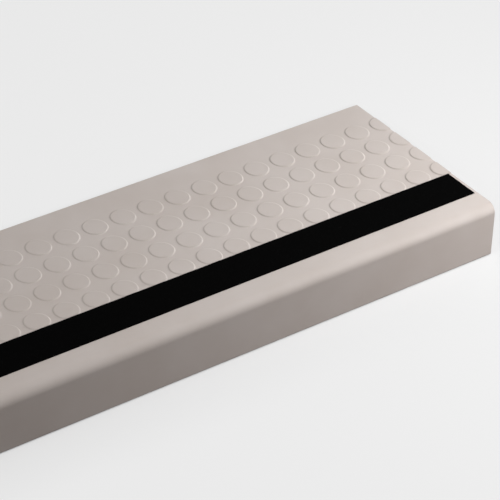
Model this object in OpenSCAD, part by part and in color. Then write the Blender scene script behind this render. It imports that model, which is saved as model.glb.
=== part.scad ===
// Rubber stair tread: a moulded plate with low round studs, a rounded nose that hangs over
// the edge of the step, and a black grip strip let into the top near the nose, level with the studs.
// The tread lies loose on a level floor. It leans back, with the inner bottom edge of the
// nose and the bottom of the back edge on the floor. X runs across the stair, +Y to the back.

/* [Plate] */
// Length of the tread across the stair
tread_length = 914.4; // [450:0.1:1830]
// Depth from the front of the nose to the back edge
tread_depth = 249.7; // [220:0.1:330]
// Thickness of the plate at the nose
front_thickness = 5.3; // [4:0.1:8]
// Thickness of the plate at the back edge
back_thickness = 2.9; // [2:0.1:4]

/* [Nose] */
// Height of the nose from the top face to its bottom edge
nose_height = 63.9; // [35:0.1:75]
// Thickness of the nose wall
nose_wall = 5; // [4:0.1:8]
// Angle by which the nose spreads forward towards its bottom edge
face_lean = 3; // [0:0.1:6]
// Radius of the rounded front edge
nose_radius = 12; // [2:0.5:12]
// Radius inside the nose, where its wall meets the underside
inner_radius = 6; // [3:0.5:10]
// Radius of the lower front edge of the nose
lip_radius = 1; // [0.2:0.1:2]
// Radius of the top edge at the back
back_radius = 0.7; // [0.2:0.1:1.5]

/* [Studs] */
// Distance from one stud to the next, both ways
stud_pitch = 36.4; // [34:0.1:60]
// Diameter of a stud where it meets the plate
stud_diameter = 29; // [16:0.1:30]
// Height of a stud above the plate
stud_height = 0.85; // [0.5:0.05:2]
// Width of the bevel round the top of a stud
stud_bevel = 0.9; // [0.2:0.1:2]
// Distance from the back edge to the centres of the last row of studs
stud_margin = 48.4; // [20:0.1:80]

/* [Grip strip] */
// Width of the grip strip
strip_width = 45.5; // [20:0.1:60]
// Distance from the front of the nose to the grip strip
strip_setback = 34.5; // [22:0.1:60]
// Thickness of the grip strip, whose top is level with the tops of the studs
strip_thickness = 2.85; // [2.1:0.05:3.2]
// Plain rubber between the grip strip and each end of the tread
strip_end_margin = 4; // [2:0.1:30]
// Gap round the grip strip in its groove
strip_clearance = 0.15; // [0.05:0.05:0.5]

/* [Hidden] */
$fn = 64;

// How far a stud's cone reaches down into the plate
stud_root = 0.5;
// How far a cutting shape reaches past the surface that it cuts
overcut = 1;
// How far a rounding stands over the face that it runs into, so that the two cross cleanly
seam = 0.005;

stud_radius = stud_diameter / 2;
stud_flare = stud_bevel / stud_height * stud_root;
strip_back = strip_setback + strip_width;
groove_depth = strip_thickness - stud_height;

// The studs are centred on the length, so the last column is cut through by each end
columns_each_side = ceil((tread_length / 2 + stud_radius) / stud_pitch - 0.5);
stud_rows = floor((tread_depth - strip_back - stud_margin + stud_radius) / stud_pitch) + 1;

// How far back the front face of the nose stands at a height
function face_at(height) = (height + nose_height) * tan(face_lean);
// How far from its corner a rounding starts on both edges, for the angle that it turns through
function rounding_reach(radius, turn) = radius * tan(turn / 2);

// The corner inside the nose, and the slope of the underside behind it
inner_corner = nose_wall + face_at(-front_thickness);
underside_rise = atan2(front_thickness - back_thickness, tread_depth - inner_corner);

// The lean of the loose tread
rest_tilt = atan2(nose_height - back_thickness, tread_depth - nose_wall);
// Where it then reaches to the front and the back, at its two rounded edges
rest_front = (rounding_reach(lip_radius, 90 + face_lean) - nose_wall) * cos(rest_tilt)
    + lip_radius * sin(rest_tilt) - lip_radius;
rest_back = (tread_depth - back_radius - nose_wall) * cos(rest_tilt)
    + (nose_height - back_radius) * sin(rest_tilt) + back_radius;

// Leans a tread that is drawn with its top face level, and centres it on the floor
module at_rest() {
    translate([0, -(rest_front + rest_back) / 2, 0])
        rotate([-rest_tilt, 0, 0])
            translate([0, -nose_wall, nose_height])
                children();
}

// What a rounding takes off a corner at the origin whose top edge runs level to the right and
// whose other edge runs down: turn is the angle between the ways that the two edges face.
// Inside a bend it is what a fillet adds.
module corner_wedge(radius, turn) {
    reach = rounding_reach(radius, turn);
    difference() {
        polygon([
            [reach, -radius],
            [reach, overcut],
            [-overcut, overcut],
            [-reach * cos(turn) - overcut, -reach * sin(turn)],
            [-reach * cos(turn), -reach * sin(turn)],
        ]);
        translate([reach, -radius])
            circle(radius + seam);
    }
}

// Section of the tread: lower front edge of the nose at 0, top face at 0, plate thinner to the back
module section() {
    difference() {
        union() {
            polygon([
                [0, -nose_height],
                [nose_wall, -nose_height],
                [inner_corner, -front_thickness],
                [tread_depth, -back_thickness],
                [tread_depth, 0],
                [face_at(0), 0],
            ]);
            translate([inner_corner, -front_thickness])
                rotate(underside_rise)
                    corner_wedge(inner_radius, 90 - face_lean - underside_rise);
        }
        translate([face_at(0), 0])
            corner_wedge(nose_radius, 90 - face_lean);
        translate([0, -nose_height])
            mirror([0, 1])
                corner_wedge(lip_radius, 90 + face_lean);
        translate([tread_depth, 0])
            mirror([1, 0])
                corner_wedge(back_radius, 90);
    }
}

// The section carried along the length, with spare at each end that the ends cut off
module bare_length() {
    spare_length = tread_length + 2 * stud_diameter;
    translate([-spare_length / 2, 0, 0])
        rotate([90, 0, 90])
            linear_extrude(spare_length)
                section();
}

// One low round stud with a bevelled wall
module stud() {
    translate([0, 0, -stud_root])
        cylinder(h = stud_height + stud_root, r1 = stud_radius + stud_flare, r2 = stud_radius - stud_bevel);
}

// All studs, squared off along the back of the grip strip
module stud_field() {
    difference() {
        for (column = [-columns_each_side : columns_each_side - 1], row = [0 : stud_rows - 1])
            translate([(column + 0.5) * stud_pitch, tread_depth - stud_margin - row * stud_pitch, 0])
                stud();
        translate([-tread_length, strip_back - 2 * stud_diameter, -stud_root - overcut])
            cube([2 * tread_length, 2 * stud_diameter, stud_root + stud_height + 2 * overcut]);
    }
}

// What lies past one end of the tread, here the end at +X
module past_the_end() {
    translate([tread_length / 2, -overcut, -nose_height - overcut])
        cube([2 * stud_diameter, tread_depth + 2 * overcut, nose_height + stud_height + 2 * overcut]);
}

// The groove that the grip strip lies in
module strip_groove() {
    groove_length = tread_length - 2 * strip_end_margin + 2 * strip_clearance;
    groove_width = strip_width + 2 * strip_clearance;
    translate([-groove_length / 2, strip_setback - strip_clearance, -groove_depth])
        cube([groove_length, groove_width, strip_thickness + overcut]);
}

module tread() {
    color("#cbc3ba")
        at_rest()
            difference() {
                union() {
                    bare_length();
                    stud_field();
                }
                strip_groove();
                past_the_end();
                mirror([1, 0, 0])
                    past_the_end();
            }
}

module grip_strip() {
    strip_length = tread_length - 2 * strip_end_margin;
    color("#0b0b0b")
        at_rest()
            translate([-strip_length / 2, strip_setback, -groove_depth])
                cube([strip_length, strip_width, strip_thickness]);
}

tread();
grip_strip();
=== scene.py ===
import bmesh
import bpy
import math
from mathutils import Matrix, Vector, noise


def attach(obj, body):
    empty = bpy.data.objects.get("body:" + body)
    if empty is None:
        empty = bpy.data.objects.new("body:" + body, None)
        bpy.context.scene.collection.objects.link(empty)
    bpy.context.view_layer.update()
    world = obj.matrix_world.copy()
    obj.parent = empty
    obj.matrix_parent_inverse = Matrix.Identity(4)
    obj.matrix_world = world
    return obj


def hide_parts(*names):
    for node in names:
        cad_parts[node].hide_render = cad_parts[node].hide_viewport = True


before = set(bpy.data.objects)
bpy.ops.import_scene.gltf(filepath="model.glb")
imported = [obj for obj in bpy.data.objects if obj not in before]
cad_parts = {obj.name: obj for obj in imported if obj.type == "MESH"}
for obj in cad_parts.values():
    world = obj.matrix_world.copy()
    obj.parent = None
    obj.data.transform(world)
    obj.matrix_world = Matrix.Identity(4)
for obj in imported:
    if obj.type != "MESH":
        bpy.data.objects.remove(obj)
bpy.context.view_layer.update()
scene = bpy.context.scene
print("frame loaded:", ", ".join(sorted(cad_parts)))

# Sizes are in millimetres. Both pieces are drawn with the top face level at height 0,
# x = 0 at the middle of the length and y = 0 at the front of the nose.
tread = {
    "length": 914.4,
    "depth": 249.7,
    "frontThickness": 5.3,
    "backThickness": 2.9,
    "noseHeight": 63.9,
    "noseWall": 5.0,
    "faceLean": 3.0,          # degrees that the nose's face spreads forward towards its bottom
    "noseRadius": 12.0,
    "noseSteps": 20,
    "innerRadius": 6.0,       # where the nose's back turns into the underside
    "innerSteps": 8,
    "lipRadius": 1.0,         # rounding of the nose's lower front edge
    "lipSteps": 4,
    "backRadius": 0.7,        # rounding of the back top edge
    "backSteps": 3,
    "studPitch": 36.4,
    "studDiameter": 29.0,
    "studHeight": 0.85,
    "studBevel": 0.9,
    "studSoftness": 0.4,      # how far the moulded curve runs on past the bevel, at foot and top
    "studSides": 48,
    "studSteps": 6,
    "studMargin": 48.4,       # from the back edge to the middle of the last row
    "supportGap": 0.5,       # distance of the extra edge loops that keep flat faces flat
    "creaseAngle": 32.0,      # edges that turn further than this are drawn crisp
}

strip = {
    "width": 45.5,
    "setback": 34.5,          # from the front of the nose
    "thickness": 2.85,        # its top is level with the tops of the studs
    "grooveDepth": 2.0,
    "endMargin": 4.0,         # plain rubber past each end of the strip
    "clearance": 0.15,
    "edgeRadius": 0.4,
    "edgeHalfway": (0.3, 0.7),  # half way round that edge, down and out, as shares of its radius
    "gritCell": 1.8,          # spacing of the points by which the gritted top waves
    "gritDepth": 0.12,
    "gritScale": 0.7,         # steps of the waves' noise in a millimetre
    "creaseAngle": 60.0,
}

# the groove that the strip lies in, as it follows from the two
groove = {
    "front": strip["setback"] - strip["clearance"],
    "back": strip["setback"] + strip["width"] + strip["clearance"],
    "end": tread["length"] / 2 - strip["endMargin"] + strip["clearance"],
    "floor": -strip["grooveDepth"],
}

millimetre = 0.001            # in metres
weldDistance = 0.0005         # points this close become one
samePlace = 0.001             # places this close count as equal


def faceAt(height):
    # how far back the nose's face stands at that height: it spreads forward as it goes down
    return (height + tread["noseHeight"]) * math.tan(math.radians(tread["faceLean"]))


def roundingReach(radius, turn):
    # from a corner to where its rounding starts, for an edge that turns through that angle
    return radius * math.tan(math.radians(turn) / 2)


def leanMatrix():
    # the loose tread leans back until its back edge meets the floor, and stands with the middle
    # of its footprint at the origin
    wall = tread["noseWall"]
    lip = tread["lipRadius"]
    edge = tread["backRadius"]
    lean = math.atan2(tread["noseHeight"] - tread["backThickness"], tread["depth"] - wall)
    lipCentre = roundingReach(lip, 90 + tread["faceLean"])
    front = (lipCentre - wall) * math.cos(lean) + lip * math.sin(lean) - lip
    back = (tread["depth"] - edge - wall) * math.cos(lean)
    back += (tread["noseHeight"] - edge) * math.sin(lean) + edge
    toFloor = Matrix.Translation((0, -wall, tread["noseHeight"]))
    return Matrix.Translation((0, -(front + back) / 2, 0)) @ Matrix.Rotation(-lean, 4, "X") @ toFloor


drawnToRow = Matrix.Scale(millimetre, 4) @ leanMatrix()


def meshObject(name, mesh, material):
    piece = bpy.data.objects.new(name, mesh)
    scene.collection.objects.link(piece)
    mesh.materials.append(material)
    return piece


def closeMesh(name, bm, creaseAngle):
    # welds, turns the faces outward, marks the crisp edges and stands the mesh in the row's frame
    bmesh.ops.remove_doubles(bm, verts=bm.verts, dist=weldDistance)
    bmesh.ops.recalc_face_normals(bm, faces=bm.faces)
    openEdges = [edge for edge in bm.edges if not edge.is_manifold]
    for face in bm.faces:
        face.smooth = True
    for edge in bm.edges:
        edge.smooth = edge.is_manifold and edge.calc_face_angle(0) < math.radians(creaseAngle)
    bm.transform(drawnToRow)
    mesh = bpy.data.meshes.new(name)
    bm.to_mesh(mesh)
    bm.free()
    triangles = sum(len(polygon.vertices) - 2 for polygon in mesh.polygons)
    print(f"{name}: {triangles} triangles, {len(openEdges)} open edges")
    return mesh


def arcPoints(centre, radius, startAngle, endAngle, steps):
    turn = endAngle - startAngle
    angles = [math.radians(startAngle + turn * step / steps) for step in range(steps + 1)]
    return [(centre[0] + radius * math.cos(angle), centre[1] + radius * math.sin(angle))
            for angle in angles]


# Colours and materials

def linearColour(hexCode):
    # a colour written as sRGB, as the shaders want it
    channels = [int(hexCode[i:i + 2], 16) / 255 for i in (1, 3, 5)]
    return [c / 12.92 if c <= 0.04045 else ((c + 0.055) / 1.055) ** 2.4 for c in channels] + [1.0]


def addNode(tree, kind, settings=None, inputs=None, links=None):
    node = tree.nodes.new(kind)
    for key, value in (settings or {}).items():
        setattr(node, key, value)
    for key, value in (inputs or {}).items():
        node.inputs[key].default_value = value
    for key, source in (links or {}).items():
        tree.links.new(source, node.inputs[key])
    return node


def newMaterial(name):
    material = bpy.data.materials.new(name)
    material.use_nodes = True
    material.node_tree.nodes.clear()
    return material, material.node_tree


def perMetre(millimetres):
    # a texture's scale for features of that size
    return 1000.0 / millimetres


rubber = {
    "colour": "#cac0ba",
    "shade": "#c4b9b2",        # the slightly deeper tone that drifts through the compound
    "driftSize": 90.0,
    "driftSpread": (0.35, 0.65),  # the noise values at which the one tone has become the other
    "roughness": (0.46, 0.56),
    "ior": 1.52,
    "grainSize": 1.6,          # the real mould grain is about 0.3 mm: drawn coarser so that it shows
    "grainHeight": 0.02,
    "grainStrength": 0.5,
}


def mouldedRubber():
    # Solid taupe rubber pressed in a steel mould: a satin skin, an even colour with a faint
    # drift, and a very fine matt grain that softens every highlight.
    material, tree = newMaterial("mouldedTaupeRubber")
    place = addNode(tree, "ShaderNodeTexCoord")
    drift = addNode(tree, "ShaderNodeTexNoise", {},
                    {"Scale": perMetre(rubber["driftSize"]), "Detail": 3.0, "Roughness": 0.55},
                    {"Vector": place.outputs["Object"]})
    grain = addNode(tree, "ShaderNodeTexNoise", {},
                    {"Scale": perMetre(rubber["grainSize"]), "Detail": 2.0, "Roughness": 0.6},
                    {"Vector": place.outputs["Object"]})
    tone = addNode(tree, "ShaderNodeValToRGB", {}, {}, {"Fac": drift.outputs["Fac"]})
    tone.color_ramp.elements[0].position = rubber["driftSpread"][0]
    tone.color_ramp.elements[0].color = linearColour(rubber["shade"])
    tone.color_ramp.elements[1].position = rubber["driftSpread"][1]
    tone.color_ramp.elements[1].color = linearColour(rubber["colour"])
    gloss = addNode(tree, "ShaderNodeMapRange", {},
                    {"To Min": rubber["roughness"][0], "To Max": rubber["roughness"][1]},
                    {"Value": grain.outputs["Fac"]})
    relief = addNode(tree, "ShaderNodeBump", {},
                     {"Strength": rubber["grainStrength"], "Distance": rubber["grainHeight"] * millimetre},
                     {"Height": grain.outputs["Fac"]})
    surface = addNode(tree, "ShaderNodeBsdfPrincipled", {}, {"IOR": rubber["ior"]},
                      {"Base Color": tone.outputs["Color"], "Roughness": gloss.outputs["Result"],
                       "Normal": relief.outputs["Normal"]})
    addNode(tree, "ShaderNodeOutputMaterial", {}, {}, {"Surface": surface.outputs["BSDF"]})
    return material


grip = {
    "colour": "#030303",
    "fleck": "#080808",
    "fleckFrom": 0.7,          # the share of grains that stay plain black
    "roughness": 0.9,
    "ior": 1.5,
    "specular": 0.01,
    "gritSize": 1.6,           # the real grit is about 0.5 mm: drawn coarser so that it shows
    "gritHeight": 0.15,
    "gritStrength": 0.6,
}


def grittedRubber():
    # Black rubber filled with dark abrasive grit: it swallows light, with no sheen at all,
    # and only close up do single grains catch a little.
    material, tree = newMaterial("blackGrittedRubber")
    place = addNode(tree, "ShaderNodeTexCoord")
    grit = addNode(tree, "ShaderNodeTexVoronoi", {}, {"Scale": perMetre(grip["gritSize"])},
                   {"Vector": place.outputs["Object"]})
    tone = addNode(tree, "ShaderNodeValToRGB", {}, {}, {"Fac": grit.outputs["Color"]})
    tone.color_ramp.elements[0].position = grip["fleckFrom"]
    tone.color_ramp.elements[0].color = linearColour(grip["colour"])
    tone.color_ramp.elements[1].position = 1.0
    tone.color_ramp.elements[1].color = linearColour(grip["fleck"])
    relief = addNode(tree, "ShaderNodeBump", {"invert": True},
                     {"Strength": grip["gritStrength"], "Distance": grip["gritHeight"] * millimetre},
                     {"Height": grit.outputs["Distance"]})
    surface = addNode(tree, "ShaderNodeBsdfPrincipled", {},
                      {"IOR": grip["ior"], "Roughness": grip["roughness"],
                       "Specular IOR Level": grip["specular"]},
                      {"Base Color": tone.outputs["Color"], "Normal": relief.outputs["Normal"]})
    addNode(tree, "ShaderNodeOutputMaterial", {}, {}, {"Surface": surface.outputs["BSDF"]})
    return material


# The tread

def studRings():
    # (radius, height) from outside the foot to inside the top: a soft S from plate to top
    foot = tread["studDiameter"] / 2 + tread["studSoftness"]
    run = tread["studBevel"] + 2 * tread["studSoftness"]
    rings = [(foot + tread["supportGap"], 0.0)]
    for step in range(tread["studSteps"] + 1):
        t = step / tread["studSteps"]
        rings.append((foot - run * t, tread["studHeight"] * t * t * (3 - 2 * t)))
    rings.append((foot - run - tread["supportGap"], tread["studHeight"]))
    rings.append(((foot - run) / 2, tread["studHeight"]))
    return rings


def addStudCell(bm, centreX, centreY):
    # one square of the plate with its stud, whose edge points meet those of the next square
    sides = tread["studSides"]
    half = tread["studPitch"] / 2
    angles = [math.tau * side / sides for side in range(sides)]
    spokes = [(math.cos(angle), math.sin(angle)) for angle in angles]
    square = []
    for c, s in spokes:
        reach = half / max(abs(c), abs(s))
        square.append((centreX + reach * c, centreY + reach * s, 0))
    circles = [[(centreX + radius * c, centreY + radius * s, height) for c, s in spokes]
               for radius, height in studRings()]
    loops = [[bm.verts.new(point) for point in loop] for loop in [square] + circles]
    for outer, inner in zip(loops[:-1], loops[1:]):
        for side in range(sides):
            after = (side + 1) % sides
            bm.faces.new((outer[side], outer[after], inner[after], inner[side]))
    middle = bm.verts.new((centreX, centreY, tread["studHeight"]))
    for side in range(sides):
        bm.faces.new((loops[-1][side], loops[-1][(side + 1) % sides], middle))


def cutField(bm, point, normal, clear):
    everything = bm.verts[:] + bm.edges[:] + bm.faces[:]
    bmesh.ops.bisect_plane(bm, geom=everything, dist=weldDistance,
                           plane_co=point, plane_no=normal, clear_outer=clear)


def pointsAlong(bm, y):
    # the places of the field's points on that line, from left to right
    return sorted((vert.co.copy() for vert in bm.verts if abs(vert.co.y - y) < samePlace),
                  key=lambda co: co.x)


def addSweep(bm, profile, positions):
    # carries a line of (y, z) points along the length
    rows = [[bm.verts.new((x, y, z)) for x in positions] for y, z in profile]
    for low, high in zip(rows[:-1], rows[1:]):
        for i in range(len(positions) - 1):
            bm.faces.new((low[i], low[i + 1], high[i + 1], high[i]))


def addFlat(bm, points):
    # one flat face with its own points, which the weld joins to the others
    bm.faces.new([bm.verts.new(point) for point in points])


def frontProfile():
    # from the front wall of the groove, over the nose and round to the inner corner
    gap = tread["supportGap"]
    drop = tread["noseHeight"]
    radius = tread["noseRadius"]
    lean = tread["faceLean"]
    lip = tread["lipRadius"]
    noseStart = faceAt(0) + roundingReach(radius, 90 - lean)
    nose = arcPoints((noseStart, -radius), radius, 90, 180 - lean, tread["noseSteps"])
    below = nose[-1][1] - 2 * gap
    above = lip - drop + 2 * gap
    lipCentre = (roundingReach(lip, 90 + lean), lip - drop)
    lipArc = arcPoints(lipCentre, lip, 180 - lean, 270, tread["lipSteps"])
    points = [(groove["front"], 0), (groove["front"] - gap, 0), (noseStart + 2 * gap, 0)] + nose
    points += [(faceAt(below), below), (faceAt(above), above)] + lipArc
    return points + [(tread["noseWall"], -drop)] + innerProfile()


def innerProfile():
    # up the back of the nose and round onto the underside, which rises slightly to the back
    lean = tread["faceLean"]
    radius = tread["innerRadius"]
    thickness = tread["frontThickness"]
    cornerY = tread["noseWall"] + faceAt(-thickness)
    corner = Vector((cornerY, -thickness))
    rise = math.atan2(thickness - tread["backThickness"], tread["depth"] - cornerY)
    reach = roundingReach(radius, 90 - lean - math.degrees(rise))
    along = Vector((math.cos(rise), math.sin(rise)))
    down = Vector((-math.sin(math.radians(lean)), -math.cos(math.radians(lean))))
    centre = corner + along * reach + Vector((along.y, -along.x)) * radius
    arc = arcPoints(centre, radius, 180 - lean, 90 + math.degrees(rise), tread["innerSteps"])
    before = corner + down * (reach + tread["supportGap"])
    after = corner + along * (reach + tread["supportGap"])
    return [tuple(before)] + arc + [tuple(after)]


def backProfile(fieldBack):
    # from the studded field over the back edge to its lower corner
    depth = tread["depth"]
    radius = tread["backRadius"]
    edge = arcPoints((depth - radius, -radius), radius, 90, 0, tread["backSteps"])
    flat = [(fieldBack, 0), (depth - radius - tread["supportGap"], 0)]
    return flat + edge + [(depth, -tread["backThickness"])]


def addField(bm):
    # rows and columns of stud cells, cut off at the groove and at both ends of the tread
    pitch = tread["studPitch"]
    radius = tread["studDiameter"] / 2
    halfLength = tread["length"] / 2
    backRow = tread["depth"] - tread["studMargin"]
    columns = math.ceil((halfLength + radius) / pitch - 0.5)
    rows = math.floor((backRow - strip["setback"] - strip["width"] + radius) / pitch) + 1
    for column in range(-columns, columns):
        for row in range(rows):
            addStudCell(bm, (column + 0.5) * pitch, backRow - row * pitch)
    bmesh.ops.remove_doubles(bm, verts=bm.verts, dist=weldDistance)
    cutField(bm, (0, groove["back"], 0), (0, -1, 0), True)
    for side in (-1, 1):
        cutField(bm, (side * halfLength, 0, 0), (side, 0, 0), True)
        cutField(bm, (side * groove["end"], 0, 0), (side, 0, 0), False)
    return backRow + pitch / 2


def wallSide(co, foot):
    # one side of a panel of the groove's back wall
    levels = [co.z]
    if foot < 0 < co.z and abs(abs(co.x) - groove["end"]) < samePlace:
        levels.append(0.0)          # here three walls meet at the level of the plate
    if levels[-1] > foot + weldDistance:
        levels.append(foot)
    return [(co.x, groove["back"], level) for level in levels]


def addGroove(bm, positions, cutEdge):
    # the back wall, from the cut studs down to the groove, or to the plain rubber past its ends
    for near, far in zip(cutEdge[:-1], cutEdge[1:]):
        foot = groove["floor"] if abs(near.x + far.x) / 2 < groove["end"] else 0.0
        panel = wallSide(near, foot) + wallSide(far, foot)[::-1]
        if len(panel) > 2:
            addFlat(bm, panel)

    # the floor and the front wall
    reach = groove["end"] + samePlace
    inGroove = [x for x in positions if abs(x) < reach]
    floorBack = [(co.x, groove["back"], groove["floor"]) for co in cutEdge if abs(co.x) < reach]
    floorFront = [(x, groove["front"], groove["floor"]) for x in reversed(inGroove)]
    addFlat(bm, floorBack + floorFront)
    addSweep(bm, [(groove["front"], groove["floor"]), (groove["front"], 0)], inGroove)

    # the end walls, and the plain rubber past them
    past = groove["end"] - samePlace
    for side in (-1, 1):
        x = side * groove["end"]
        addFlat(bm, [(x, groove["front"], groove["floor"]), (x, groove["back"], groove["floor"]),
                     (x, groove["back"], 0), (x, groove["front"], 0)])
        marginBack = [(co.x, groove["back"], 0) for co in cutEdge if side * co.x > past]
        marginFront = [(px, groove["front"], 0) for px in reversed(positions) if side * px > past]
        addFlat(bm, marginBack + marginFront)


def buildTread():
    bm = bmesh.new()
    fieldBack = addField(bm)
    positions = [co.x for co in pointsAlong(bm, fieldBack)]
    addGroove(bm, positions, pointsAlong(bm, groove["back"]))
    front = frontProfile()
    back = backProfile(fieldBack)
    underside = [front[-1], back[-1]]
    for profile in (front, back, underside):
        addSweep(bm, profile, positions)
    bmesh.ops.remove_doubles(bm, verts=bm.verts, dist=weldDistance)
    for end in (-tread["length"] / 2, tread["length"] / 2):
        rim = [edge for edge in bm.edges if edge.is_boundary
               and all(abs(vert.co.x - end) < samePlace for vert in edge.verts)]
        bmesh.ops.holes_fill(bm, edges=rim, sides=0)
    return closeMesh("treadMesh", bm, tread["creaseAngle"])


# The grip strip

def buildStrip():
    halfLength = tread["length"] / 2 - strip["endMargin"]
    halfWidth = strip["width"] / 2
    middle = strip["setback"] + halfWidth
    inset = strip["edgeRadius"]
    top = strip["thickness"] - strip["grooveDepth"]
    across = math.ceil(strip["width"] / strip["gritCell"])
    along = math.ceil(2 * halfLength / strip["gritCell"])
    scale = strip["gritScale"]
    bm = bmesh.new()

    # the gritted top, level along its rim
    lines = []
    for i in range(along + 1):
        x = -halfLength + inset + (2 * halfLength - 2 * inset) * i / along
        line = []
        for j in range(across + 1):
            y = middle - halfWidth + inset + (strip["width"] - 2 * inset) * j / across
            onRim = i in (0, along) or j in (0, across)
            wave = 0.5 + 0.5 * noise.noise(Vector((x * scale, y * scale, 0)))
            sink = 0.0 if onRim else strip["gritDepth"] * wave
            line.append(bm.verts.new((x, y, top - sink)))
        lines.append(line)
    for i in range(along):
        for j in range(across):
            bm.faces.new((lines[i][j], lines[i + 1][j], lines[i + 1][j + 1], lines[i][j + 1]))
    rim = [line[0] for line in lines] + lines[-1][1:]
    rim += [line[-1] for line in reversed(lines[:-1])] + list(reversed(lines[0][1:-1]))

    def outward(offset, half):
        return 1 if offset > half - 2 * inset else -1 if offset < 2 * inset - half else 0

    # over the rounded edge and down the sides to the bottom
    down, out = strip["edgeHalfway"]
    below = rim
    for sink, spread in ((inset * down, inset * out), (inset, inset), (strip["thickness"], inset)):
        ring = []
        for vert in rim:
            x = vert.co.x + spread * outward(vert.co.x, halfLength)
            y = vert.co.y + spread * outward(vert.co.y - middle, halfWidth)
            ring.append(bm.verts.new((x, y, top - sink)))
        for i in range(len(rim)):
            after = (i + 1) % len(rim)
            bm.faces.new((below[i], ring[i], ring[after], below[after]))
        below = ring
    bm.faces.new(below)
    return closeMesh("stripMesh", bm, strip["creaseAngle"])


# Both pieces, on the part's one body

treadPiece = meshObject("mouldedTread", buildTread(), mouldedRubber())
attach(treadPiece, "root")
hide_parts("tread")

stripPiece = meshObject("gripStrip", buildStrip(), grittedRubber())
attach(stripPiece, "root")
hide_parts("grip_strip")
print("tread and grip strip dressed")


# Floor, light and camera

studio = {
    "floorColour": "#efefef",
    "bounceColour": "#584c4a",  # what the tread gets back from the floor: little, as over an open stair
    "floorSize": 24.0,
    "skyColour": "#ffffff",
    "skyStrength": 0.02,        # the light that the room itself gives the tread
    "backdropColour": "#efefef",
    "backdropShare": 0.85,      # how much of the seen floor is backdrop: the rest shows the shadow
    "shadowReach": 0.08,        # this near the tread the backdrop gives way to the contact shadow
    "shadowSamples": 8,
}


def seenDirectly(tree):
    # 1 where the camera, a mirror or a glass looks at the backdrop, 0 for the light it sends back
    path = addNode(tree, "ShaderNodeLightPath")
    seen = addNode(tree, "ShaderNodeMath", {"operation": "ADD"}, {},
                   {0: path.outputs["Is Camera Ray"], 1: path.outputs["Is Glossy Ray"]})
    seen = addNode(tree, "ShaderNodeMath", {"operation": "ADD", "use_clamp": True}, {},
                   {0: seen.outputs["Value"], 1: path.outputs["Is Transmission Ray"]})
    return seen.outputs["Value"]


def paleFloor():
    # matt painted board, seen nearly white, that keeps the tread's shadow
    material, tree = newMaterial("paleBoard")
    seen = seenDirectly(tree)
    paint = addNode(tree, "ShaderNodeValToRGB", {}, {}, {"Fac": seen})
    paint.color_ramp.elements[0].color = linearColour(studio["bounceColour"])
    paint.color_ramp.elements[1].color = linearColour(studio["floorColour"])
    board = addNode(tree, "ShaderNodeBsdfDiffuse", {}, {}, {"Color": paint.outputs["Color"]})
    backdrop = addNode(tree, "ShaderNodeEmission", {},
                       {"Color": linearColour(studio["backdropColour"]), "Strength": 1.0})
    inTheOpen = addNode(tree, "ShaderNodeAmbientOcclusion", {"samples": studio["shadowSamples"]},
                        {"Distance": studio["shadowReach"]})
    share = addNode(tree, "ShaderNodeMath", {"operation": "MULTIPLY"},
                    {1: studio["backdropShare"]}, {0: seen})
    share = addNode(tree, "ShaderNodeMath", {"operation": "MULTIPLY"}, {},
                    {0: share.outputs["Value"], 1: inTheOpen.outputs["AO"]})
    both = addNode(tree, "ShaderNodeMixShader", {}, {},
                   {0: share.outputs["Value"], 1: board.outputs["BSDF"],
                    2: backdrop.outputs["Emission"]})
    addNode(tree, "ShaderNodeOutputMaterial", {}, {}, {"Surface": both.outputs["Shader"]})
    bm = bmesh.new()
    bmesh.ops.create_grid(bm, x_segments=1, y_segments=1, size=studio["floorSize"] / 2)
    mesh = bpy.data.meshes.new("floorMesh")
    bm.to_mesh(mesh)
    bm.free()
    return meshObject("paleFloor", mesh, material)


paleFloor()


def paleRoom():
    # a dim even room light, seen as the same pale backdrop as the floor
    world = bpy.data.worlds.new("paleRoom")
    world.use_nodes = True
    tree = world.node_tree
    tree.nodes.clear()
    sky = addNode(tree, "ShaderNodeBackground", {},
                  {"Color": linearColour(studio["skyColour"]), "Strength": studio["skyStrength"]})
    backdrop = addNode(tree, "ShaderNodeBackground", {},
                       {"Color": linearColour(studio["backdropColour"]), "Strength": 1.0})
    both = addNode(tree, "ShaderNodeMixShader", {}, {},
                   {0: seenDirectly(tree), 1: sky.outputs["Background"],
                    2: backdrop.outputs["Background"]})
    addNode(tree, "ShaderNodeOutputWorld", {}, {}, {"Surface": both.outputs["Shader"]})
    return world


scene.world = paleRoom()

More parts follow.
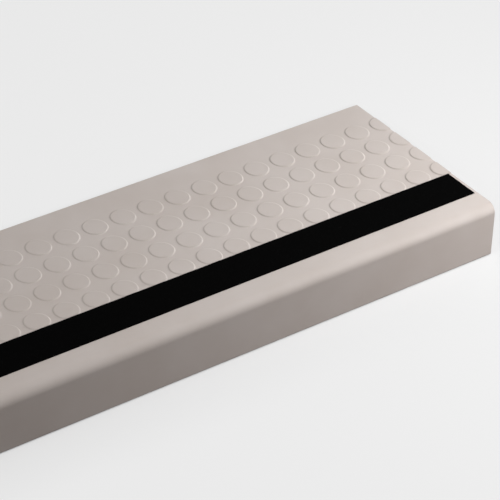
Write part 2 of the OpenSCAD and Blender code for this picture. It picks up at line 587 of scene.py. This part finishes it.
# Soft panels, all aimed at the same spot: most of the light comes from over the right end
lampAim = (0.2, 0.0, 0.045)
lamps = {
    "overRightEnd": {"place": (0.5, -0.15, 0.7), "size": 0.5, "watts": 1.74},
    "beyondRightEnd": {"place": (0.75, -0.25, 0.4), "size": 0.5, "watts": 1.5},
    "frontRight": {"place": (0.9, -0.6, 0.5), "size": 0.5, "watts": 3.08},
    "highLeft": {"place": (-1.54, 0.0, 1.45), "size": 1.0, "watts": 21.1},
    "lowRight": {"place": (1.99, 1.06, 0.61), "size": 1.0, "watts": 14.1},
    "lowBack": {"place": (1.21, 1.84, 0.61), "size": 1.0, "watts": 2.6},
}


def addLamp(name, lamp):
    light = bpy.data.lights.new(name, "AREA")
    light.shape = "SQUARE"
    light.size = lamp["size"]
    light.energy = lamp["watts"]
    holder = bpy.data.objects.new(name, light)
    scene.collection.objects.link(holder)
    away = Vector(lamp["place"]) - Vector(lampAim)
    holder.location = lamp["place"]
    holder.rotation_euler = away.to_track_quat("Z", "Y").to_euler()
    holder.visible_camera = False


for lampName, lampValues in lamps.items():
    addLamp(lampName, lampValues)

# Where the camera stands over the tread as it is drawn, top face level, so it leans with it
cameraPlan = {
    "place": (-1241.3, -1628.6, 1552.6),
    "heading": 39.61,          # degrees from +Y towards +X
    "down": 35.01,
    "roll": 4.56,
    "lens": 182.0,
    "sensor": 36.0,
    "farthest": 60.0,          # metres that it sees
}


def addCamera():
    data = bpy.data.cameras.new("photoCamera")
    data.lens = cameraPlan["lens"]
    data.sensor_width = cameraPlan["sensor"]
    data.clip_end = cameraPlan["farthest"]
    camera = bpy.data.objects.new("photoCamera", data)
    scene.collection.objects.link(camera)
    turn = Matrix.Rotation(math.radians(-cameraPlan["heading"]), 4, "Z")
    turn = turn @ Matrix.Rotation(math.radians(90 - cameraPlan["down"]), 4, "X")
    turn = turn @ Matrix.Rotation(math.radians(cameraPlan["roll"]), 4, "Z")
    stand = leanMatrix() @ Matrix.Translation(cameraPlan["place"]) @ turn
    place, facing, _ = stand.decompose()
    camera.matrix_world = Matrix.Translation(place * millimetre) @ facing.to_matrix().to_4x4()
    scene.camera = camera


addCamera()
scene.view_settings.view_transform = "Standard"
print("floor, lamps and camera placed")
